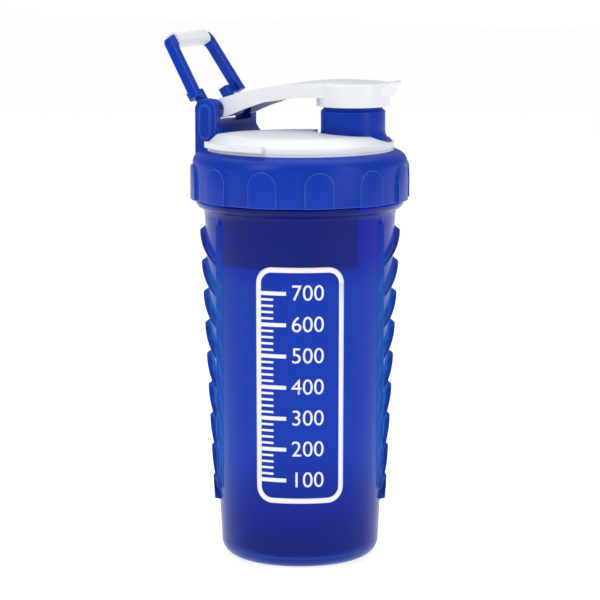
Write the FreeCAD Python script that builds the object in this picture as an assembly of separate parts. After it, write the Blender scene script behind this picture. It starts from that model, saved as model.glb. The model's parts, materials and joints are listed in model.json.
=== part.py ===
import FreeCAD, Part
import math
import os

# Protein shaker bottle. Millimetres, +Z up. The origin is on the cup's axis, at the plane it stands on.
# X runs from the lid's hinge to its spout. The lid is closed, the carry loop leans back on its stop.

V = FreeCAD.Vector
UP = V(0, 0, 1)

# Cutting shapes reach FAR sideways, and from BELOW to ABOVE, which is past every part they cut
FAR = 60.0
BELOW = 110.0
ABOVE = 220.0

# Cup
WALL = 1.8
FOOT_R = 26.2
FOOT_RING_R = (23.6, 24.6)
CORNER_MID = (31.8, 2.4)
CORNER_MID_INSIDE = (30.4, 4.9)
BASE_R = 33.8
BASE_CORNER_Z = 8.0
SHOULDER_R = 40.6
SHOULDER_Z = 146.0
NECK_R = 41.2
NECK_BORE_R = 38.8
RIM_Z = 168.5
BEAD_R = 44.5
BEAD_LOW_Z = 150.5
BEAD_TOP_Z = 154.7
BEAD_MID = (43.5, 152.0)
BEAD_EDGE = 0.5
FLOOR_Z = 3.4
FOOT_RECESS = 1.4

# The cup's front faces this way about Z; its grips are to the left and right of it.
FRONT_DEG = -64.0
GRIP_RIB_L = 33.8
GRIP_RIB_WIDTH = 3.6
GRIP_TOP_Z = 145.0
GRIP_LOW_Z = 27.0
GRIP_PROUD = 1.8
CHEVRONS = 9
CHEVRON_PITCH = 13.4
CHEVRON_RISE = 12.4
CHEVRON_TOP_Z = 139.0
CHEVRON_WIDTH = 4.2
GRIP_ROOT = 0.6

# Screw thread
PITCH = 6.0
THREAD_TURNS = 1.0
THREAD_Z = 160.5
CUP_THREAD_R = 42.6
LID_THREAD_R = 41.8
THREAD_ROOT = 2.2
THREAD_CREST = 1.2
THREAD_SUNK = 0.4

# Lid
LID_R = 45.8
LID_BORE_R = 43.4
LID_LOW_Z = 155.0
LID_CEILING_Z = 170.9
LID_SHOULDER = ((45.8, 170.0), (44.7, 173.3), (42.4, 175.0))
LID_CROWN_R = 39.4
LID_CROWN_LOW_Z = 176.3
LID_CROWN_TOP_Z = 182.0
PAD_COUNT = 12
PAD_FIRST_DEG = 6.0
PAD_WIDTH = 12.3
PAD_TOP_Z = 170.0
PAD_PROUD = 1.0
PAD_ROOT = 0.8
SKIN = 2.0
SEAL_INNER_R = 39.0
SEAL_OUTER_R = 42.6

# Spout
SPOUT = V(22.3, 5.5, 0)
SPOUT_R = 13.7
SPOUT_TIP_R = 12.6
SPOUT_BORE_R = 11.0
SPOUT_STEP_Z = 193.4
SPOUT_TOP_Z = 200.0
SPOUT_ROOT_Z = 176.0
SPOUT_FLARE_R = 15.8
SPOUT_FLARE_Z = 180.0
SPOUT_FLARE_MID = (14.2, 182.0)
SPOUT_STRAIGHT_Z = 185.0
SPOUT_LIP_MID = (12.2, 199.8)
SPOUT_LIP_R = 11.8
PLUG_FOOT_R = 9.2
PLUG_R = 10.0
PLUG_DISC_R = 13.2
PLUG_DEPTH = 2.9

# Mixing grid, snapped into a socket under the spout
SOCKET_OUTER_R = 15.9
SOCKET_R = 14.3
SOCKET_LOW_Z = 168.0
SOCKET_TOP_Z = 178.0
GRID_R = 14.2
GRID_INNER_R = 12.0
GRID_LOW_Z = 168.2
GRID_TOP_Z = 170.0
GRID_BAR = 1.4
GRID_BAR_YS = (-8.0, -4.0, 0.0, 4.0, 8.0)

# Hinge
AXIS_Y = 5.5
HINGE_X = -38.4
HINGE_Z = 191.7
EAR_OUT = 19.25
EAR_IN = 14.4
EAR_BACK_X = -43.2
EAR_FRONT_X = -33.4
EAR_TOP_R = 4.9
SADDLE_Z = 186.2
GUSSET_REACH = 6.0
GUSSET_FOOT_Z = 178.7
BADGE_PROUD = 0.5
BADGE_SUNK = 0.3
BADGE_HALF_WIDTHS = (2.9, 2.1)
BADGE_SPAN = (-9.5, -0.4)
PIN_R = 2.0
PIN_FIT = 0.05
PIN_PRESS = 0.02
PIN_END_ROOM = 0.1
PIN_HALF = 17.5
BARREL_HALF = 10.2
BARREL_R = 4.2
BARREL_ROOM_R = 6.4
WEB_FRONT_X = -29.0
WEB_LOW_Z = 192.2
WEB_TOP_Z = 197.7

# Flip cap
CAP_R = 15.5
CAP_BORE_R = 13.9
CAP_LOW_Z = 194.6
CAP_TOP_Z = 204.5
ARM_HALF = 14.0
ARM_SKIN = 2.0
ARM_OPEN = 16.0
CAP_ROOF = 2.0
CAP_EDGE_R = 14.2
LIP_X = 40.6
LIP_TOP_Z = 205.4
LIP_HALF = 8.0
LIP_ROOT = 8.0
ARM_BACK = (-36.6, 195.7)
ARM_ARCH = (-9.9, 202.4)
ARM_LOWER_EDGE = ((22.3, 198.5), (2.0, 198.0), (-13.5, 195.6), (-23.0, 192.3), (-32.6, 188.3))

# Carry loop
LOOP_LEAN_DEG = 32.0
LOOP_REACH = 34.2
LOOP_ARM = 20.6
LOOP_ARM_TOP = 17.6
LOOP_CORNER_R = 4.2
LOOP_DEPTH = 4.0
LOOP_SECTION = 3.7
BOSS_IN = 10.6
BOSS_OUT = 14.0
BOSS_BACK = 4.2
BOSS_FRONT = 0.2
BOSS_R = 4.3
STEP_LOW = 6.6
STEP_TOP = 10.4
STEP_LAP = 0.5
GRIP_HALF = 14.2
GRIP_DEPTH = 6.0
GRIP_HEIGHT = 6.0
GRIP_ROUND = 1.9

# Storage pocket and its cover
COVER_R = 40.0
COVER_BITE_R = 16.5
COVER_BACK_DIR = V(0.899, 0.438, 0)
COVER_BACK_Y = 2.6
COVER_BACK_END = 4.0
COVER_NOTCH = ((-24.2, -12.3), (-31.0, -24.5))
COVER_NOTCH_SPREAD = 0.8
COVER_WALL = 2.0
COVER_EDGE = 0.8
COVER_EDGE_RISE = 0.5
COVER_GROOVE = 0.4
COVER_SEAL_INSETS = (2.3, 4.0)
COVER_SEAL_HEIGHTS = (0.1, 1.7)
SEAT_ROOM_R = 0.4
SEAT_ROOM_BACK = 0.9
DECK_TOP_Z = 174.9
DECK_LOW_Z = 172.1
DECK_ROOM_BACK = 0.4
COVER_SEAT_Z = 175.2
COVER_EDGE_Z = 179.2
COVER_BEVEL = (35.5, 182.6)
COVER_CROWN_Z = 184.0
COVER_GROOVE_Z = 176.6
COVER_GAP = 0.3
TAB_R = 42.4
TAB_FROM_DEG = -136.0
TAB_TO_DEG = -86.0
TAB_LOW_Z = 177.6
TAB_TOP_Z = 180.0
TAB_LAP = 1.2
POCKET_INSET = 4.6
POCKET_LOW_Z = 128.0
POCKET_WALL = 1.6
POCKET_PRESS = 0.05


def outline(start, *steps, place=lambda a, b: V(a, 0, b)):
    """A closed wire from a first point through straight steps (a, b) and arcs ((mid), (end))."""
    here, edges = place(*start), []
    for step in steps:
        if isinstance(step[0], tuple):
            end = place(*step[1])
            edges.append(Part.Arc(here, place(*step[0]), end).toShape())
        else:
            end = place(*step)
            edges.append(Part.makeLine(here, end))
        here = end
    edges.append(Part.makeLine(here, place(*start)))
    return Part.Face(Part.Wire(edges))


def crown(radius, low, top):
    """Arc of a true sphere, from radius at height low up to the axis at height top."""
    sagitta = top - low
    ball = (radius ** 2 + sagitta ** 2) / (2 * sagitta)
    middle = top - ball + math.sqrt(ball ** 2 - (radius / 2) ** 2)
    return ((radius / 2, middle), (0, top))


def lathe(start, *steps, centre=V(0, 0, 0)):
    return outline(start, *steps).revolve(V(0, 0, 0), UP, 360).translated(centre)


def tube(outer, inner, low, high, centre=V(0, 0, 0)):
    at = centre + V(0, 0, low)
    body = Part.makeCylinder(outer, high - low, at)
    return body.cut(Part.makeCylinder(inner, high - low, at))


def block(x0, x1, y0, y1, z0, z1):
    return Part.makeBox(x1 - x0, y1 - y0, z1 - z0, V(x0, y0, z0))


def slab(low, high):
    """Everything within FAR of the axis, between two heights."""
    return block(-FAR, FAR, -FAR, FAR, low, high)


def column(radius, centre=V(0, 0, 0)):
    """A tall upright cylinder to cut with."""
    return Part.makeCylinder(radius, ABOVE - BELOW, centre + V(0, 0, BELOW))


def across(radius, half, inner=0.0):
    """Cylinders along the hinge axis: one from -half to half, or a mirrored pair from inner to half."""
    spans = ((-half, half),) if inner == 0.0 else ((inner, half), (-half, -inner))
    rods = [
        Part.makeCylinder(radius, high - low, V(HINGE_X, AXIS_Y + low, HINGE_Z), V(0, 1, 0))
        for low, high in spans
    ]
    return rods[0] if len(rods) == 1 else rods[0].fuse(rods[1])


def thread(root_r, crest_r, start_z):
    """A helical ridge from root_r to crest_r, sunk a little into the wall it stands on."""
    sunk = root_r - math.copysign(THREAD_SUNK, crest_r - root_r)
    helix = Part.makeHelix(PITCH, PITCH * THREAD_TURNS, root_r).translated(V(0, 0, start_z))
    profile = Part.makePolygon([
        V(sunk, 0, start_z - THREAD_ROOT / 2), V(crest_r, 0, start_z - THREAD_CREST / 2),
        V(crest_r, 0, start_z + THREAD_CREST / 2), V(sunk, 0, start_z + THREAD_ROOT / 2),
        V(sunk, 0, start_z - THREAD_ROOT / 2),
    ])
    return Part.Wire(helix.Edges).makePipeShell([profile], True, True)


def cup_radius(z):
    return BASE_R + (SHOULDER_R - BASE_R) * (z - BASE_CORNER_Z) / (SHOULDER_Z - BASE_CORNER_Z)


def grip_skin():
    """The layer on the cup's wall that its grips fill."""
    low, high = GRIP_LOW_Z - 8, GRIP_TOP_Z + 4
    layers = [
        Part.makeCone(cup_radius(low) + out, cup_radius(high) + out, high - low, V(0, 0, low))
        for out in (GRIP_PROUD, -GRIP_ROOT)
    ]
    return layers[0].cut(layers[1])


def side_grip():
    """One feather panel, drawn on a plane seen from the side (F to the front, z up), and extruded out."""
    depth = 2 * GRIP_RIB_L
    place = lambda f, z: V(GRIP_RIB_L * 0.3, -f, z)
    outward = V(depth, 0, 0)
    solids = []
    for index in range(CHEVRONS):
        peak = CHEVRON_TOP_Z + 2 - CHEVRON_PITCH * index
        foot = peak - CHEVRON_RISE
        reach = math.sqrt(max(cup_radius(foot) ** 2 - GRIP_RIB_L ** 2, 9.0))
        half = CHEVRON_WIDTH / 2
        face = outline(
            (-reach, foot - half), (0, peak - half), (reach, foot - half),
            (reach, foot + half), (0, peak + half), (-reach, foot + half), place=place,
        )
        solids.append(face.extrude(outward))
    for side in (-1, 1):
        solids.append(block(
            GRIP_RIB_L - GRIP_RIB_WIDTH / 2, GRIP_RIB_L + GRIP_RIB_WIDTH / 2,
            *sorted((side * 3, side * 40)), GRIP_LOW_Z, GRIP_TOP_Z,
        ))
    pattern = solids[0].multiFuse(solids[1:])
    return pattern.common(grip_skin())


def make_cup():
    shell = lathe(
        (0, FOOT_RECESS), (FOOT_RING_R[0], FOOT_RECESS), (FOOT_RING_R[1], 0), (FOOT_R, 0),
        (CORNER_MID, (BASE_R, BASE_CORNER_Z)), (SHOULDER_R, SHOULDER_Z), (SHOULDER_R + BEAD_EDGE, BEAD_LOW_Z),
        (BEAD_MID, (BEAD_R, BEAD_TOP_Z - BEAD_EDGE)), (BEAD_R - BEAD_EDGE, BEAD_TOP_Z),
        (NECK_R, BEAD_TOP_Z), (NECK_R, RIM_Z), (NECK_BORE_R, RIM_Z), (SHOULDER_R - WALL, SHOULDER_Z),
        (BASE_R - WALL, BASE_CORNER_Z + 1), (CORNER_MID_INSIDE, (FOOT_R, FLOOR_Z)), (0, FLOOR_Z),
    )
    right = side_grip()
    left = right.mirror(V(0, 0, 0), V(1, 0, 0))
    grips = right.fuse(left)
    grips.rotate(V(0, 0, 0), UP, FRONT_DEG + 90)
    return shell.fuse(grips).fuse(thread(NECK_R, CUP_THREAD_R, THREAD_Z)).removeSplitter()


def cover_plan(radius, inset, grow=0.0):
    """Segment of a disc in front of the spout and the hinge, with a round bite beside the spout."""
    shift = grow - inset
    left, right = COVER_BACK_DIR * -FAR, COVER_BACK_DIR * FAR
    front, back = V(0, -FAR, BELOW), V(0, COVER_BACK_Y + shift, BELOW)
    notch = [V(x - COVER_NOTCH_SPREAD * shift, y + shift, BELOW) for x, y in COVER_NOTCH]
    corners = [left + front, right + front, right + back, COVER_BACK_DIR * COVER_BACK_END + back, *notch]
    sheet = Part.Face(Part.makePolygon(corners + corners[:1]))
    bite = column(COVER_BITE_R - shift, SPOUT)
    return column(radius - inset).common(sheet.extrude(UP * (ABOVE - BELOW))).cut(bite)


def largest(shape):
    return max(shape.Solids, key=lambda solid: solid.Volume)


def cover_dome(drop):
    """Solid under the cover's upper surface, lowered by drop all over."""
    edge = COVER_EDGE_Z - drop
    return lathe(
        (0, BELOW), (FAR, BELOW), (FAR, edge), (COVER_R, edge),
        (COVER_R - COVER_EDGE, edge + COVER_EDGE_RISE), (COVER_BEVEL[0], COVER_BEVEL[1] - drop),
        crown(COVER_BEVEL[0], COVER_BEVEL[1] - drop, COVER_CROWN_Z - drop),
    )


def make_storage_cover():
    outer = cover_plan(COVER_R, 0).common(cover_dome(0)).common(slab(COVER_SEAT_Z, ABOVE))
    outer = largest(outer).cut(
        tube(COVER_R + 1, COVER_R - COVER_GROOVE, COVER_GROOVE_Z, COVER_GROOVE_Z + COVER_GROOVE))
    hollow = largest(cover_plan(COVER_R, COVER_WALL).common(cover_dome(COVER_WALL)))
    tab = tube(TAB_R, COVER_R - TAB_LAP, TAB_LOW_Z, TAB_TOP_Z)
    wedge = outline((0, 0), *[
        (FAR * math.cos(math.radians(a)), FAR * math.sin(math.radians(a)))
        for a in (TAB_FROM_DEG, (TAB_FROM_DEG + TAB_TO_DEG) / 2, TAB_TO_DEG)
    ], place=lambda a, b: V(a, b, BELOW)).extrude(UP * (ABOVE - BELOW))
    shell = outer.cut(hollow)
    return largest(shell.fuse(tab.common(wedge).cut(hollow)))


def make_cover_seal():
    outer, inner = [largest(cover_plan(COVER_R, inset)) for inset in COVER_SEAL_INSETS]
    low, high = [COVER_SEAT_Z + rise for rise in COVER_SEAL_HEIGHTS]
    return largest(outer.cut(inner).common(slab(low, high)))


def make_storage_cup():
    outer = largest(cover_plan(COVER_R, POCKET_INSET)).common(slab(POCKET_LOW_Z, COVER_SEAT_Z - COVER_GAP))
    hollow = largest(cover_plan(COVER_R, POCKET_INSET + POCKET_WALL)).common(
        slab(POCKET_LOW_Z + POCKET_WALL, ABOVE))
    return largest(outer.cut(hollow))


def lid_outer():
    return lathe(
        (0, LID_LOW_Z), (LID_R, LID_LOW_Z), LID_SHOULDER[0], (LID_SHOULDER[1], LID_SHOULDER[2]),
        (LID_CROWN_R, LID_CROWN_LOW_Z), crown(LID_CROWN_R, LID_CROWN_LOW_Z, LID_CROWN_TOP_Z),
    )


def lid_hollow():
    inner_r = LID_CROWN_R - SKIN
    inner_z = LID_CROWN_LOW_Z - SKIN
    return lathe(
        (0, LID_LOW_Z - 1), (LID_BORE_R, LID_LOW_Z - 1), (LID_BORE_R, LID_CEILING_Z),
        (inner_r, LID_CEILING_Z), (inner_r, inner_z), crown(inner_r, inner_z, LID_CROWN_TOP_Z - SKIN),
    )


def pad(degrees):
    """A grip pad with a round top, standing out of the skirt."""
    half = PAD_WIDTH / 2
    spring = PAD_TOP_Z - half
    face = outline(
        (-half, LID_LOW_Z), (half, LID_LOW_Z), (half, spring), ((0, PAD_TOP_Z), (-half, spring)),
        place=lambda a, b: V(LID_R / 2, a, b),
    )
    layer = tube(LID_R + PAD_PROUD, LID_R - PAD_ROOT, LID_LOW_Z, PAD_TOP_Z)
    solid = face.extrude(V(LID_R, 0, 0)).common(layer)
    return solid.rotated(V(0, 0, 0), UP, degrees)


def hinge_block():
    y0, y1 = AXIS_Y - EAR_OUT, AXIS_Y + EAR_OUT
    body = block(EAR_BACK_X, EAR_FRONT_X, y0, y1, LID_CEILING_Z + 2, HINGE_Z).fuse(across(EAR_TOP_R, EAR_OUT))
    gap = block(-FAR, 0, AXIS_Y - EAR_IN, AXIS_Y + EAR_IN, SADDLE_Z, ABOVE)
    body = body.common(column(LID_R)).cut(gap).cut(across(PIN_R + PIN_PRESS, PIN_HALF + PIN_END_ROOM))
    return body.fuse(gusset()).fuse(ear_badge())


def gusset():
    """Concave foot in front of the hinge block, a little narrower than it."""
    back, reach = EAR_FRONT_X - 1, EAR_FRONT_X + GUSSET_REACH
    face = outline(
        (back, SADDLE_Z), (EAR_FRONT_X, SADDLE_Z),
        ((EAR_FRONT_X + GUSSET_REACH / 4, GUSSET_FOOT_Z + 3.4), (reach, GUSSET_FOOT_Z)),
        (reach, GUSSET_FOOT_Z - 3), (back, GUSSET_FOOT_Z - 3),
    )
    half = EAR_OUT - 1
    return face.extrude(V(0, 2 * half, 0)).translated(V(0, AXIS_Y - half, 0))


def ear_badge():
    """Raised oval outline on the near ear's outer face."""
    low, high = [HINGE_Z + rise for rise in BADGE_SPAN]
    ovals = []
    for width in BADGE_HALF_WIDTHS:
        left, right = HINGE_X - width, HINGE_X + width
        face = outline(
            (left, low), ((HINGE_X, low - width), (right, low)), (right, high),
            ((HINGE_X, high + width), (left, high)),
        )
        ovals.append(face.extrude(V(0, BADGE_PROUD + BADGE_SUNK, 0)))
    return ovals[0].cut(ovals[1]).translated(V(0, AXIS_Y - EAR_OUT - BADGE_PROUD, 0))


def spout_wall():
    """The spout filled in, with its flared foot and its stepped tip."""
    return lathe(
        (0, SPOUT_ROOT_Z), (SPOUT_FLARE_R, SPOUT_ROOT_Z), (SPOUT_FLARE_R, SPOUT_FLARE_Z),
        (SPOUT_FLARE_MID, (SPOUT_R, SPOUT_STRAIGHT_Z)), (SPOUT_R, SPOUT_STEP_Z - 1.1),
        (SPOUT_TIP_R, SPOUT_STEP_Z), (SPOUT_TIP_R, SPOUT_TOP_Z - 0.8),
        (SPOUT_LIP_MID, (SPOUT_LIP_R, SPOUT_TOP_Z)), (0, SPOUT_TOP_Z), centre=SPOUT,
    )


def cover_seat(body):
    """Sinks the cover's seat into the lid and floors it with a flat deck."""
    seat = largest(cover_plan(COVER_R + SEAT_ROOM_R, 0, SEAT_ROOM_BACK)).common(slab(DECK_TOP_Z, ABOVE))
    deck = largest(cover_plan(COVER_R, 0, DECK_ROOM_BACK)).common(slab(DECK_LOW_Z, DECK_TOP_Z))
    return body.cut(seat).fuse(deck)


def make_lid():
    body = lid_outer().cut(lid_hollow())
    body = body.multiFuse([pad(PAD_FIRST_DEG + 360 / PAD_COUNT * i) for i in range(PAD_COUNT)])
    body = body.fuse(thread(LID_BORE_R, LID_THREAD_R, THREAD_Z - PITCH / 2))
    body = cover_seat(body).fuse(spout_wall()).fuse(hinge_block())
    socket = tube(SOCKET_OUTER_R, SOCKET_R, SOCKET_LOW_Z, SOCKET_TOP_Z, SPOUT)
    body = body.fuse(socket.common(column(NECK_BORE_R - 0.5)))
    mouth = largest(cover_plan(COVER_R, POCKET_INSET - POCKET_PRESS))
    return largest(body.cut(mouth).cut(column(SPOUT_BORE_R, SPOUT)))


def make_lid_seal():
    return tube(SEAL_OUTER_R, SEAL_INNER_R, RIM_Z + 0.3, LID_CEILING_Z - 0.3)


def make_mixing_grid():
    ring = tube(GRID_R, GRID_INNER_R, GRID_LOW_Z, GRID_TOP_Z, SPOUT)
    half, reach = GRID_BAR / 2, GRID_INNER_R + 1
    bars = [block(-reach, reach, y - half, y + half, GRID_LOW_Z, GRID_TOP_Z) for y in GRID_BAR_YS]
    spine = block(-half, half, -reach, reach, GRID_LOW_Z, GRID_TOP_Z)
    grate = spine.multiFuse(bars).translated(SPOUT).common(column(reach, SPOUT))
    return ring.fuse(grate)


def arm_solid(half, drop=0.0, below=0.0):
    """The arm from its side view: arched top lowered by drop, rising lower edge lowered by below."""
    low = [(x, z - below) for x, z in ARM_LOWER_EDGE]
    back, arch = [(x, z - drop) for x, z in (ARM_BACK, ARM_ARCH)]
    face = outline(back, (arch, (SPOUT.x, CAP_TOP_Z - drop)), *low)
    return face.translated(V(0, AXIS_Y - half, 0)).extrude(V(0, 2 * half, 0))


def thumb_lip():
    """The upturned lip on the cap's front."""
    root = SPOUT.x + LIP_ROOT
    face = outline(
        (root, CAP_TOP_Z), ((LIP_X - 5.0, CAP_TOP_Z), (LIP_X, LIP_TOP_Z)),
        ((LIP_X + 0.3, LIP_TOP_Z - 0.9), (LIP_X - 0.6, LIP_TOP_Z - 1.8)),
        (LIP_X - 2.6, LIP_TOP_Z - 6.4), (root, LIP_TOP_Z - 7.3),
    )
    return face.extrude(V(0, 2 * LIP_HALF, 0)).translated(V(0, AXIS_Y - LIP_HALF, 0))


def make_flip_cap():
    arm = arm_solid(ARM_HALF).cut(arm_solid(ARM_HALF - ARM_SKIN, ARM_SKIN, ARM_OPEN))
    arm = arm.cut(across(BARREL_ROOM_R, ARM_HALF + 1, BARREL_HALF))
    barrel = across(BARREL_R, BARREL_HALF)
    web = block(HINGE_X, WEB_FRONT_X, AXIS_Y - BARREL_HALF, AXIS_Y + BARREL_HALF, WEB_LOW_Z, WEB_TOP_Z)
    web = web.common(arm_solid(BARREL_HALF).fuse(barrel))
    cap = lathe(
        (0, CAP_LOW_Z), (CAP_R, CAP_LOW_Z), (CAP_R, CAP_TOP_Z - 1.2),
        ((CAP_R - 0.4, CAP_TOP_Z - 0.4), (CAP_EDGE_R, CAP_TOP_Z)), (0, CAP_TOP_Z), centre=SPOUT,
    )
    body = arm.fuse(web).fuse(barrel).fuse(cap).fuse(thumb_lip())
    bore = column(CAP_BORE_R, SPOUT).common(slab(BELOW, CAP_TOP_Z - CAP_ROOF))
    return largest(body.cut(bore).cut(across(PIN_R + PIN_FIT, ARM_HALF)))


def make_spout_plug():
    low, high = SPOUT_TOP_Z + 0.3, CAP_TOP_Z - CAP_ROOF
    foot = low - PLUG_DEPTH
    return lathe(
        (0, foot), (PLUG_FOOT_R, foot), (PLUG_R, low), (PLUG_DISC_R, low), (PLUG_DISC_R, high), (0, high),
        centre=SPOUT,
    )


def loop_plan(grow, low):
    """The loop's outline seen from behind, a trapezium with round top corners, grown sideways and up."""
    wide, narrow = LOOP_ARM + grow, LOOP_ARM_TOP + grow
    top, corner = LOOP_REACH + grow, LOOP_CORNER_R
    bend = corner * (1 - math.sqrt(0.5))
    return outline(
        (-wide, low), (wide, low), (narrow, top - corner),
        ((narrow - bend, top - bend), (narrow - corner, top)),
        (corner - narrow, top), ((bend - narrow, top - bend), (-narrow, top - corner)),
        place=lambda y, z: V(HINGE_X - LOOP_DEPTH / 2, AXIS_Y + y, HINGE_Z + z),
    ).extrude(V(LOOP_DEPTH, 0, 0))


def loop_frame():
    """The loop upright over the pivot, before it is leaned back."""
    half = LOOP_SECTION / 2
    x0, x1 = HINGE_X - BOSS_BACK, HINGE_X - BOSS_FRONT
    low, high = HINGE_Z + STEP_LOW, HINGE_Z + STEP_TOP
    ring = loop_plan(half, STEP_LOW).cut(loop_plan(-half, 0))
    parts = [across(BOSS_R, BOSS_OUT, BOSS_IN)]
    for side in (-1, 1):
        inner, outer = sorted((side * BOSS_IN, side * BOSS_OUT))
        parts.append(block(x0, x1, AXIS_Y + inner, AXIS_Y + outer, HINGE_Z, high))
        inner, outer = sorted((side * BOSS_IN, side * (LOOP_ARM - half + STEP_LAP)))
        parts.append(block(x0, x1, AXIS_Y + inner, AXIS_Y + outer, low, high))
    return ring.multiFuse(parts)


def lean(shape):
    return shape.rotated(V(HINGE_X, AXIS_Y, HINGE_Z), V(0, 1, 0), -LOOP_LEAN_DEG)


def make_carry_loop():
    return lean(loop_frame().cut(across(PIN_R + PIN_FIT, LOOP_ARM)))


def make_loop_grip():
    """A soft sleeve with round corners, moulded over the crossbar."""
    x, z, r = GRIP_DEPTH / 2, GRIP_HEIGHT / 2, GRIP_ROUND
    bend = r * (1 - math.sqrt(0.5))
    steps = []
    for sx, sz in ((1, 1), (-1, 1), (-1, -1), (1, -1)):
        side, level = (sx * x, sz * (z - r)), (sx * (x - r), sz * z)
        start, end = (side, level) if sx == sz else (level, side)
        steps += [start, ((sx * (x - bend), sz * (z - bend)), end)]
    face = outline(*steps, place=lambda a, b: V(HINGE_X + a, AXIS_Y - GRIP_HALF, HINGE_Z + LOOP_REACH + b))
    return lean(face.extrude(V(0, 2 * GRIP_HALF, 0)).cut(loop_frame()))


NODES = {
    "cup": make_cup,
    "lid": make_lid,
    "lid_seal": make_lid_seal,
    "mixing_grid": make_mixing_grid,
    "storage_cup": make_storage_cup,
    "storage_cover": make_storage_cover,
    "cover_seal": make_cover_seal,
    "hinge_pin": lambda: across(PIN_R, PIN_HALF),
    "flip_cap": make_flip_cap,
    "spout_plug": make_spout_plug,
    "carry_loop": make_carry_loop,
    "loop_grip": make_loop_grip,
}

os.makedirs("parts", exist_ok=True)
for node, make in NODES.items():
    shape = make()
    box = shape.BoundBox
    bounds = [round(v, 1) for v in (box.XMin, box.XMax, box.YMin, box.YMax, box.ZMin, box.ZMax)]
    print(node, len(shape.Solids), "solids", round(shape.Volume), "mm3", shape.isValid(), bounds)
    shape.exportStep(f"parts/{node}.step")
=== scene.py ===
import json
import math

import bpy
import numpy as np
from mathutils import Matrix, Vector


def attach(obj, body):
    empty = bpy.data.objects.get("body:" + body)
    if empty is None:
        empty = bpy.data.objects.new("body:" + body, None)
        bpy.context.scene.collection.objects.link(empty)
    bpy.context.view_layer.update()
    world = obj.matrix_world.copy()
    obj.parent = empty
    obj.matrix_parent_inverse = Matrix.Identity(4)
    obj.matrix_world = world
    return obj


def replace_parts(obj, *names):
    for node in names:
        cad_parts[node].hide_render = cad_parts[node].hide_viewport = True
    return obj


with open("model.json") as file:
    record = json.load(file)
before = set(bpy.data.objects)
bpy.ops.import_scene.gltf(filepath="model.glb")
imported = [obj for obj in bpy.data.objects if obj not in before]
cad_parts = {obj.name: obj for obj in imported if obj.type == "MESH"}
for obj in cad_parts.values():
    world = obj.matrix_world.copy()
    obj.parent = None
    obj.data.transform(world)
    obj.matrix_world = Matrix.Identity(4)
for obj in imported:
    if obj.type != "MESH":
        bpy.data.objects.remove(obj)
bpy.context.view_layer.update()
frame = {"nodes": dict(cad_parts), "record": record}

MM = 0.001

# ---------------------------------------------------------------- camera, floor and light

AIM = Vector((0.0, 0.0, 0.1106))
CAMERA_DEG = 26.0
PITCH_DEG = 8.5
DISTANCE = 1.229
LENS_MM = 171.8


def make_camera():
    data = bpy.data.cameras.new("camera")
    data.lens = LENS_MM
    data.sensor_width = 36.0
    camera = bpy.data.objects.new("camera", data)
    bpy.context.collection.objects.link(camera)
    turn, pitch = math.radians(CAMERA_DEG), math.radians(PITCH_DEG)
    back = Vector((math.sin(turn) * math.cos(pitch), -math.cos(turn) * math.cos(pitch), math.sin(pitch)))
    camera.location = AIM + back * DISTANCE
    camera.rotation_euler = (-back).to_track_quat("-Z", "Y").to_euler()
    bpy.context.scene.camera = camera


def camera_side(right, toward, up):
    """A place given from the camera's side: to its right, towards it, and up."""
    turn = math.radians(CAMERA_DEG)
    return Vector((
        right * math.cos(turn) + toward * math.sin(turn),
        right * math.sin(turn) - toward * math.cos(turn),
        up,
    ))


def softbox(name, place, size, watts):
    data = bpy.data.lights.new(name, "AREA")
    data.shape = "RECTANGLE"
    data.size, data.size_y = size
    data.energy = watts
    lamp = bpy.data.objects.new(name, data)
    bpy.context.collection.objects.link(lamp)
    lamp.location = camera_side(*place)
    lamp.rotation_euler = (AIM - lamp.location).to_track_quat("-Z", "Y").to_euler()


def make_studio():
    softbox("key", (-0.75, 0.75, 0.85), (0.28, 0.9), 5.0)
    softbox("fill", (0.85, 0.7, 0.5), (0.3, 0.9), 3.0)
    softbox("top", (0.0, -0.1, 1.2), (1.6, 1.2), 9.0)
    world = bpy.data.worlds.new("studio")
    world.use_nodes = True
    sky = world.node_tree.nodes["Background"]
    sky.inputs["Color"].default_value = (0.97, 0.98, 1.0, 1.0)
    links = world.node_tree.links
    path = world.node_tree.nodes.new("ShaderNodeLightPath")
    seen = world.node_tree.nodes.new("ShaderNodeMath")
    seen.operation = "MAXIMUM"
    links.new(path.outputs["Is Camera Ray"], seen.inputs[0])
    links.new(path.outputs["Is Transmission Ray"], seen.inputs[1])
    strength = world.node_tree.nodes.new("ShaderNodeMapRange")
    strength.inputs["To Min"].default_value = 0.35
    strength.inputs["To Max"].default_value = 1.03
    links.new(seen.outputs["Value"], strength.inputs["Value"])
    links.new(strength.outputs["Result"], sky.inputs["Strength"])
    bpy.context.scene.world = world
    bpy.context.scene.view_settings.view_transform = "Standard"


# ---------------------------------------------------------------- materials

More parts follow.
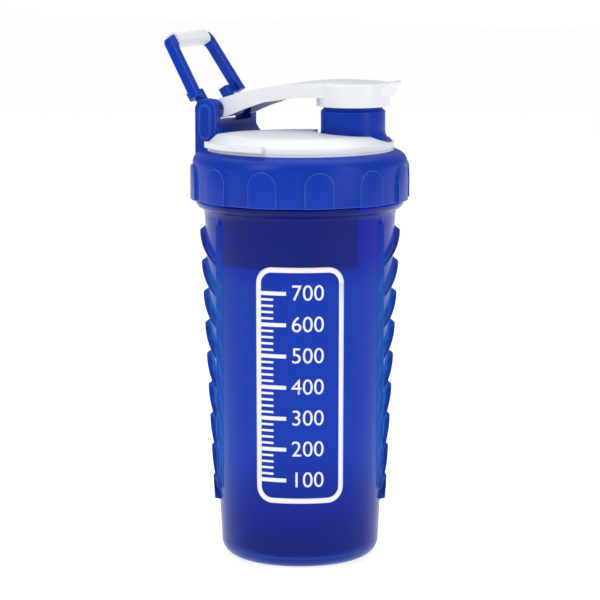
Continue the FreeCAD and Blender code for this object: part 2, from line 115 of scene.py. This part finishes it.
def plastic(name, colour, roughness, grain_mm, bump, mottling=0.06,
            transmission=0.0, coat=0.0, specular=0.5, ior=1.49):
    """Moulded plastic: fine grain in the bump, and slow changes of tone and gloss."""
    mat = bpy.data.materials.new(name)
    mat.use_nodes = True
    nodes, links = mat.node_tree.nodes, mat.node_tree.links
    shader = nodes["Principled BSDF"]
    shader.inputs["IOR"].default_value = ior
    shader.inputs["Specular IOR Level"].default_value = specular
    shader.inputs["Transmission Weight"].default_value = transmission
    shader.inputs["Coat Weight"].default_value = coat
    shader.inputs["Coat Roughness"].default_value = 0.16
    shader.inputs["Coat IOR"].default_value = 1.3
    where = nodes.new("ShaderNodeTexCoord")

    slow = nodes.new("ShaderNodeTexNoise")
    slow.inputs["Scale"].default_value = 45.0
    slow.inputs["Detail"].default_value = 3.0
    links.new(where.outputs["Object"], slow.inputs["Vector"])
    tone = nodes.new("ShaderNodeValToRGB")
    low = [c * (1 - mottling) for c in colour]
    high = [min(1.0, c * (1 + mottling)) for c in colour]
    tone.color_ramp.elements[0].position, tone.color_ramp.elements[1].position = 0.3, 0.7
    tone.color_ramp.elements[0].color = (*low, 1.0)
    tone.color_ramp.elements[1].color = (*high, 1.0)
    links.new(slow.outputs["Fac"], tone.inputs["Fac"])
    links.new(tone.outputs["Color"], shader.inputs["Base Color"])

    gloss = nodes.new("ShaderNodeMapRange")
    gloss.inputs["To Min"].default_value = roughness * 0.85
    gloss.inputs["To Max"].default_value = roughness * 1.15
    links.new(slow.outputs["Fac"], gloss.inputs["Value"])
    links.new(gloss.outputs["Result"], shader.inputs["Roughness"])

    grain = nodes.new("ShaderNodeTexNoise")
    grain.inputs["Scale"].default_value = 1.0 / (grain_mm * MM)
    grain.inputs["Detail"].default_value = 2.0
    links.new(where.outputs["Object"], grain.inputs["Vector"])
    relief = nodes.new("ShaderNodeBump")
    relief.inputs["Strength"].default_value = bump
    relief.inputs["Distance"].default_value = 0.0001
    links.new(grain.outputs["Fac"], relief.inputs["Height"])
    links.new(relief.outputs["Normal"], shader.inputs["Normal"])
    return mat


MATERIALS = {
    "cup_plastic": plastic(
        "cup_plastic", (0.010, 0.15, 0.62), 0.30, 3.0, 0.02, 0.03, transmission=0.90, coat=0.35, ior=1.17),
    "lid_plastic": plastic("lid_plastic", (0.001, 0.033, 0.38), 0.34, 0.5, 0.10, 0.05, specular=0.18),
    "pocket_plastic": plastic("pocket_plastic", (0.004, 0.010, 0.34), 0.42, 0.5, 0.12, specular=0.1),
    "white_plastic": plastic("white_plastic", (0.80, 0.815, 0.85), 0.34, 0.5, 0.25, 0.02, coat=0.1),
    "seal_rubber": plastic("seal_rubber", (0.70, 0.72, 0.75), 0.55, 0.3, 0.35, 0.03),
    "pin_plastic": plastic("pin_plastic", (0.78, 0.79, 0.82), 0.30, 0.4, 0.15, 0.02),
    "print_ink": plastic("print_ink", (0.86, 0.87, 0.90), 0.35, 0.8, 0.10, 0.02),
    "grip_rubber": plastic("grip_rubber", (0.80, 0.81, 0.84), 0.50, 0.35, 0.45, 0.03),
}


# The cup's colour is made darker towards its foot, and under its neck as painted shade where the lid shades
# it: height in m, and the factor on its colour
CUP_DARKENING_AND_SHADE = (
    (0.0, (0.7, 0.38, 0.70)), (0.020, (0.7, 0.40, 0.76)), (0.045, (1.0, 1.0, 1.0)),
    (0.120, (1.0, 1.0, 1.0)), (0.132, (0.7, 0.42, 0.95)), (0.150, (0.7, 0.35, 0.95)),
)
# Painted highlight colour for the lid's moulded edges
EDGE_HIGHLIGHT_COLOUR = (0.05, 0.16, 0.66)
EDGE_ROUNDS_MM = {"lid": 0.45, "flip_cap": 0.5, "carry_loop": 0.9, "storage_cover": 0.5, "loop_grip": 0.6}


def darken_and_shade_by_height(mat, stops):
    """Darkens a plastic's colour by height, also to paint shade: stops are (height in m, colour factor),
    rising.
    """
    nodes, links = mat.node_tree.nodes, mat.node_tree.links
    shader = nodes["Principled BSDF"]
    tone = shader.inputs["Base Color"].links[0].from_socket
    where = nodes.new("ShaderNodeTexCoord")
    split = nodes.new("ShaderNodeSeparateXYZ")
    links.new(where.outputs["Object"], split.inputs["Vector"])
    span = nodes.new("ShaderNodeMapRange")
    span.inputs["From Max"].default_value = stops[-1][0]
    links.new(split.outputs["Z"], span.inputs["Value"])
    ramp_node = nodes.new("ShaderNodeValToRGB")
    elements = ramp_node.color_ramp.elements
    while len(elements) < len(stops):
        elements.new(0.5)
    for element, (height, factor) in zip(elements, stops):
        element.position = height / stops[-1][0]
        element.color = (*factor, 1.0)
    links.new(span.outputs["Result"], ramp_node.inputs["Fac"])
    product = nodes.new("ShaderNodeMix")
    product.data_type, product.blend_type = "RGBA", "MULTIPLY"
    product.inputs["Factor"].default_value = 1.0
    links.new(tone, product.inputs["A"])
    links.new(ramp_node.outputs["Color"], product.inputs["B"])
    links.new(product.outputs["Result"], shader.inputs["Base Color"])


def paint_edge_highlights(mat, colour, reach_mm, strength):
    """Paints highlights: mixes in a lighter colour along moulded edges, where the rounded normal leaves the
    true one.
    """
    nodes, links = mat.node_tree.nodes, mat.node_tree.links
    shader = nodes["Principled BSDF"]
    tone = shader.inputs["Base Color"].links[0].from_socket
    rounded = nodes.new("ShaderNodeBevel")
    rounded.samples = 6
    rounded.inputs["Radius"].default_value = reach_mm * MM
    true = nodes.new("ShaderNodeNewGeometry")
    match = nodes.new("ShaderNodeVectorMath")
    match.operation = "DOT_PRODUCT"
    links.new(rounded.outputs["Normal"], match.inputs[0])
    links.new(true.outputs["Normal"], match.inputs[1])
    # Mask of the painted edge highlight
    edge = nodes.new("ShaderNodeMapRange")
    edge.inputs["From Min"].default_value, edge.inputs["From Max"].default_value = 0.995, 0.90
    edge.inputs["To Max"].default_value = strength
    links.new(match.outputs["Value"], edge.inputs["Value"])
    mixed = nodes.new("ShaderNodeMix")
    mixed.data_type = "RGBA"
    mixed.inputs["B"].default_value = (*colour, 1.0)
    links.new(edge.outputs["Result"], mixed.inputs["Factor"])
    links.new(tone, mixed.inputs["A"])
    links.new(mixed.outputs["Result"], shader.inputs["Base Color"])


def soften_edges(obj, width_mm, segments=3):
    """Welds the CAD mesh's seams and rounds its sharp edges, without touching the mesh itself."""
    weld = obj.modifiers.new("weld", "WELD")
    weld.merge_threshold = 1e-6
    bevel = obj.modifiers.new("edge_round", "BEVEL")
    bevel.width = width_mm * MM
    bevel.segments = segments
    bevel.limit_method = "ANGLE"
    bevel.angle_limit = math.radians(40)
    bevel.harden_normals = False


def dress_cad_nodes():
    slots = {part["node"]: part["material_slot"] for part in frame["record"]["subparts"]}
    for node, obj in frame["nodes"].items():
        for place in obj.material_slots:
            place.material = MATERIALS[slots[node]]


# ---------------------------------------------------------------- cup

FRONT_DEG = -64.0
BASE_R, BASE_Z = 33.8, 8.0
SHOULDER_R, SHOULDER_Z = 40.6, 146.0
RIB_SIDE = 33.8
RIB_LOW_Z, RIB_TOP_Z = 31.0, 145.0
RIB_PROUD = 1.8
RIB_HALF = 2.2
CHEVRONS = 9
CHEVRON_PITCH = 13.4
CHEVRON_RISE = 12.4
CHEVRON_TOP_Z = 141.0
CHEVRON_HALF = 2.1
CHEVRON_PROUD = 2.4
THREAD_Z, THREAD_PITCH, THREAD_PROUD = 160.5, 6.0, 1.35
NECK_LOW_Z, RIM_Z = 154.7, 168.5
AROUND = 480


def wall_radius(z):
    return BASE_R + (SHOULDER_R - BASE_R) * (z - BASE_Z) / (SHOULDER_Z - BASE_Z)


def swell(distance, half):
    """A round-topped ridge, 1 on its line and 0 from half outwards."""
    near = np.clip(np.abs(distance) / half, 0.0, 1.0)
    return 0.5 * (1.0 + np.cos(np.pi * near))


def ribs(z, angle):
    """Height in mm of the grip ribs over the wall, at height z and an angle from the cup's front."""
    radius = wall_radius(z)
    side, front = radius * np.sin(angle), radius * np.cos(angle)
    edge = np.arcsin(np.clip(RIB_SIDE / radius, -1.0, 1.0))
    off_edge = (np.arctan2(np.abs(side), np.abs(front)) - edge) * radius
    past_end = np.maximum(z - RIB_TOP_Z, 0.0) + np.maximum(RIB_LOW_Z - z, 0.0)
    height = RIB_PROUD * swell(np.hypot(off_edge, past_end), RIB_HALF)
    for index in range(CHEVRONS):
        peak = CHEVRON_TOP_Z - CHEVRON_PITCH * index
        foot = peak - CHEVRON_RISE
        reach = math.sqrt(max(wall_radius(foot) ** 2 - RIB_SIDE ** 2, 9.0))
        slope = CHEVRON_RISE / reach
        off_line = (z - (peak - slope * np.abs(front))) / math.hypot(1.0, slope)
        inside = np.clip((reach - np.abs(front)) / 1.2 + 0.5, 0.0, 1.0) * (np.abs(side) > RIB_SIDE * 0.7)
        height = np.maximum(height, CHEVRON_PROUD * swell(off_line, CHEVRON_HALF) * inside)
    return height


def thread_height(z, turn):
    """Height in mm of the screw thread, one turn that fades in and out over 0.2 radian."""
    wound = turn % (2 * math.pi)
    along = THREAD_Z + THREAD_PITCH * wound / (2 * math.pi)
    fade = np.clip(wound / 0.2, 0, 1) * np.clip((2 * math.pi - wound) / 0.2, 0, 1)
    return THREAD_PROUD * swell(z - along, 1.3) * fade


def arc(centre, radius, start_deg, end_deg, steps):
    turns = np.radians(np.linspace(start_deg, end_deg, steps))
    return [(centre[0] + radius * math.cos(t), centre[1] + radius * math.sin(t)) for t in turns]


def ramp(start, end, steps):
    return [tuple(np.array(start) + (np.array(end) - np.array(start)) * i / steps) for i in range(steps)]


def cup_section():
    """The cup's half section in mm, from the middle of its underside, up its outside and down its inside."""
    points = ramp((0.0, 1.4), (23.4, 1.4), 6) + [(23.4, 1.4), (24.0, 0.9), (24.6, 0.2), (25.2, 0.0)]
    points += arc((26.2, 7.6), 7.6, -90, -3, 22)
    points += ramp((BASE_R, BASE_Z), (SHOULDER_R, SHOULDER_Z), 300)
    points += [(40.6, 146.0), (40.75, 148.0), (41.0, 150.4)]
    points += arc((40.6, 154.6), 4.0, -70, -8, 12)
    points += [(44.4, 154.5), (44.1, 154.7), (42.0, 154.7)]
    points += ramp((41.2, 155.0), (41.2, 168.1), 44)
    points += [(41.1, 168.35), (40.8, 168.5), (39.2, 168.5), (38.9, 168.35)]
    points += ramp((38.8, 168.1), (38.8, SHOULDER_Z), 8)
    points += ramp((38.8, SHOULDER_Z), (32.0, 10.0), 40)
    points += arc((26.4, 9.2), 5.7, 0, -90, 12)
    points += ramp((26.4, 3.5), (0.0, 3.4), 6) + [(0.0, 3.4)]
    return np.array(points)


def make_cup():
    section = cup_section()
    outside = int(np.argmax(section[:, 1]))
    turns = np.linspace(0, 2 * math.pi, AROUND, endpoint=False)
    rows = []
    for index, (radius, z) in enumerate(section):
        ring = np.full(AROUND, radius)
        if index < outside and RIB_LOW_Z - 6 < z < RIB_TOP_Z + 6:
            angle = turns - math.radians(FRONT_DEG)
            ring = ring + ribs(np.full(AROUND, z), angle)
        if index < outside and z > NECK_LOW_Z + 0.2:
            ring = ring + thread_height(z, turns)
        rows.append(np.stack([ring * np.cos(turns), ring * np.sin(turns), np.full(AROUND, z)], axis=1))
    rows = rows[1:-1]
    ends = [(0.0, 0.0, section[0][1]), (0.0, 0.0, section[-1][1])]
    verts = np.concatenate(rows + [np.array(ends)]) * MM
    bottom, top = len(verts) - 2, len(verts) - 1
    faces = []
    for row in range(len(rows) - 1):
        a, b = row * AROUND, (row + 1) * AROUND
        faces += [(a + i, a + (i + 1) % AROUND, b + (i + 1) % AROUND, b + i) for i in range(AROUND)]
    last = (len(rows) - 1) * AROUND
    faces += [(bottom, (i + 1) % AROUND, i) for i in range(AROUND)]
    faces += [(top, last + i, last + (i + 1) % AROUND) for i in range(AROUND)]
    return mesh_piece("cup_body", verts.tolist(), faces, "cup_plastic")


def mesh_piece(name, verts, faces, material):
    """A smooth-shaded piece that rides on the cup, in metres."""
    mesh = bpy.data.meshes.new(name)
    mesh.from_pydata(verts, [], faces)
    mesh.validate()
    mesh.polygons.foreach_set("use_smooth", [True] * len(mesh.polygons))
    piece = bpy.data.objects.new(name, mesh)
    bpy.context.collection.objects.link(piece)
    mesh.materials.append(MATERIALS[material])
    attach(piece, "cup")
    return piece


# ---------------------------------------------------------------- print

PRINT_LOW_Z, PRINT_HIGH_Z = 29.0, 130.0
PRINT_HALF_WIDE = 19.0
PRINT_CORNER = 7.0
FRAME_LINE = 2.2
MAJORS, MINORS = 6, 5
MAJOR_REACH, MINOR_REACH = 11.0, 5.5
MAJOR_HALF, MINOR_HALF = 0.84, 0.48
SCALE_LOW_Z, SCALE_HIGH_Z = 39.0, 119.0
DIGIT_SIZE = 9.4
DIGIT_GAP = 2.0
PRINT_LIFT = 0.06
PRINT_THICK = 0.10


def onto_wall(x, z):
    """A flat place in the print, x right of its middle and z up, wrapped onto the cup's wall in mm."""
    radius = wall_radius(z) + PRINT_LIFT
    turn = math.radians(FRONT_DEG) + x / radius
    return (radius * math.cos(turn), radius * math.sin(turn), z)


class Print:
    """Collects the flat shapes of the white print as strips of quads."""

    def __init__(self):
        self.verts, self.faces = [], []

    def strip(self, left, right):
        start = len(self.verts)
        for a, b in zip(left, right):
            self.verts += [onto_wall(*a), onto_wall(*b)]
        for i in range(len(left) - 1):
            k = start + 2 * i
            self.faces.append((k, k + 1, k + 3, k + 2))

    def bar(self, x0, x1, z0, z1):
        steps = max(2, int(abs(x1 - x0) / 0.8))
        xs = np.linspace(x0, x1, steps + 1)
        self.strip([(x, z1) for x in xs], [(x, z0) for x in xs])

    def digits(self, text, x, z, size):
        curve = bpy.data.curves.new("digits", "FONT")
        curve.body, curve.size = text, size
        curve.align_x, curve.align_y = "LEFT", "CENTER"
        shape = bpy.data.objects.new("digits", curve)
        mesh = bpy.data.meshes.new_from_object(shape)
        start = len(self.verts)
        self.verts += [onto_wall(x + v.co.x, z + v.co.y) for v in mesh.vertices]
        self.faces += [tuple(start + i for i in face.vertices) for face in mesh.polygons]
        bpy.data.objects.remove(shape)
        bpy.data.curves.remove(curve)
        bpy.data.meshes.remove(mesh)

    def frame(self, half_wide, low, high, corner, line):
        """A closed outline with round corners, line wide."""
        outer, inner = [], []
        corners = ((1, 1, 0), (-1, 1, 90), (-1, -1, 180), (1, -1, 270))
        for side, level, start_deg in corners:
            middle = (side * (half_wide - corner), (high if level > 0 else low) - level * corner)
            outer += arc(middle, corner, start_deg, start_deg + 90, 10)
            inner += arc(middle, corner - line, start_deg, start_deg + 90, 10)
        self.strip(refine(outer + outer[:1]), refine(inner + inner[:1]))


def refine(points, pieces=8):
    """Splits each long stretch between points, so that it can follow the round wall."""
    fine = []
    for start, end in zip(points, points[1:]):
        fine += ramp(start, end, pieces)
    return fine + [points[-1]]


def make_print():
    """A white measuring scale on the cup's front: a round-cornered frame, graduations and their numbers."""
    ink = Print()
    ink.frame(PRINT_HALF_WIDE, PRINT_LOW_Z, PRINT_HIGH_Z, PRINT_CORNER, FRAME_LINE)
    left = -PRINT_HALF_WIDE + FRAME_LINE
    for index in range(MAJORS * MINORS + 1):
        z = SCALE_LOW_Z + (SCALE_HIGH_Z - SCALE_LOW_Z) * index / (MAJORS * MINORS)
        major = index % MINORS == 0
        reach, half = (MAJOR_REACH, MAJOR_HALF) if major else (MINOR_REACH, MINOR_HALF)
        ink.bar(left - 0.4, left + reach, z - half, z + half)
        if major:
            ink.digits(str(100 * (index // MINORS + 1)), left + reach + DIGIT_GAP, z, DIGIT_SIZE)
    verts = (np.array(ink.verts) * MM).tolist()
    piece = mesh_piece("scale_print", verts, ink.faces, "print_ink")
    coat = piece.modifiers.new("ink_thickness", "SOLIDIFY")
    coat.thickness = PRINT_THICK * MM
    coat.offset = 1.0


def make_floor():
    mesh = bpy.data.meshes.new("floor")
    half = 4.0
    corners = [(-half, -half, 0), (half, -half, 0), (half, half, 0), (-half, half, 0)]
    mesh.from_pydata(corners, [], [(0, 1, 2, 3)])
    floor = bpy.data.objects.new("floor", mesh)
    bpy.context.collection.objects.link(floor)
    paint = plastic("floor_paint", (0.50, 0.50, 0.51), 0.7, 4.0, 0.05, 0.01, specular=0.05)
    glow = paint.node_tree.nodes["Principled BSDF"]
    glow.inputs["Emission Color"].default_value = (1.0, 1.0, 1.0, 1.0)
    glow.inputs["Emission Strength"].default_value = 0.80
    mesh.materials.append(paint)


make_camera()
make_studio()
# Painted shade: the cup is darker towards its foot and under its neck
darken_and_shade_by_height(MATERIALS["cup_plastic"], CUP_DARKENING_AND_SHADE)
# Painted highlights along the lid's edges
paint_edge_highlights(MATERIALS["lid_plastic"], EDGE_HIGHLIGHT_COLOUR, 0.7, 0.8)
dress_cad_nodes()
for node, width in EDGE_ROUNDS_MM.items():
    soften_edges(frame["nodes"][node], width)
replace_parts(make_cup(), "cup")
make_print()
make_floor()
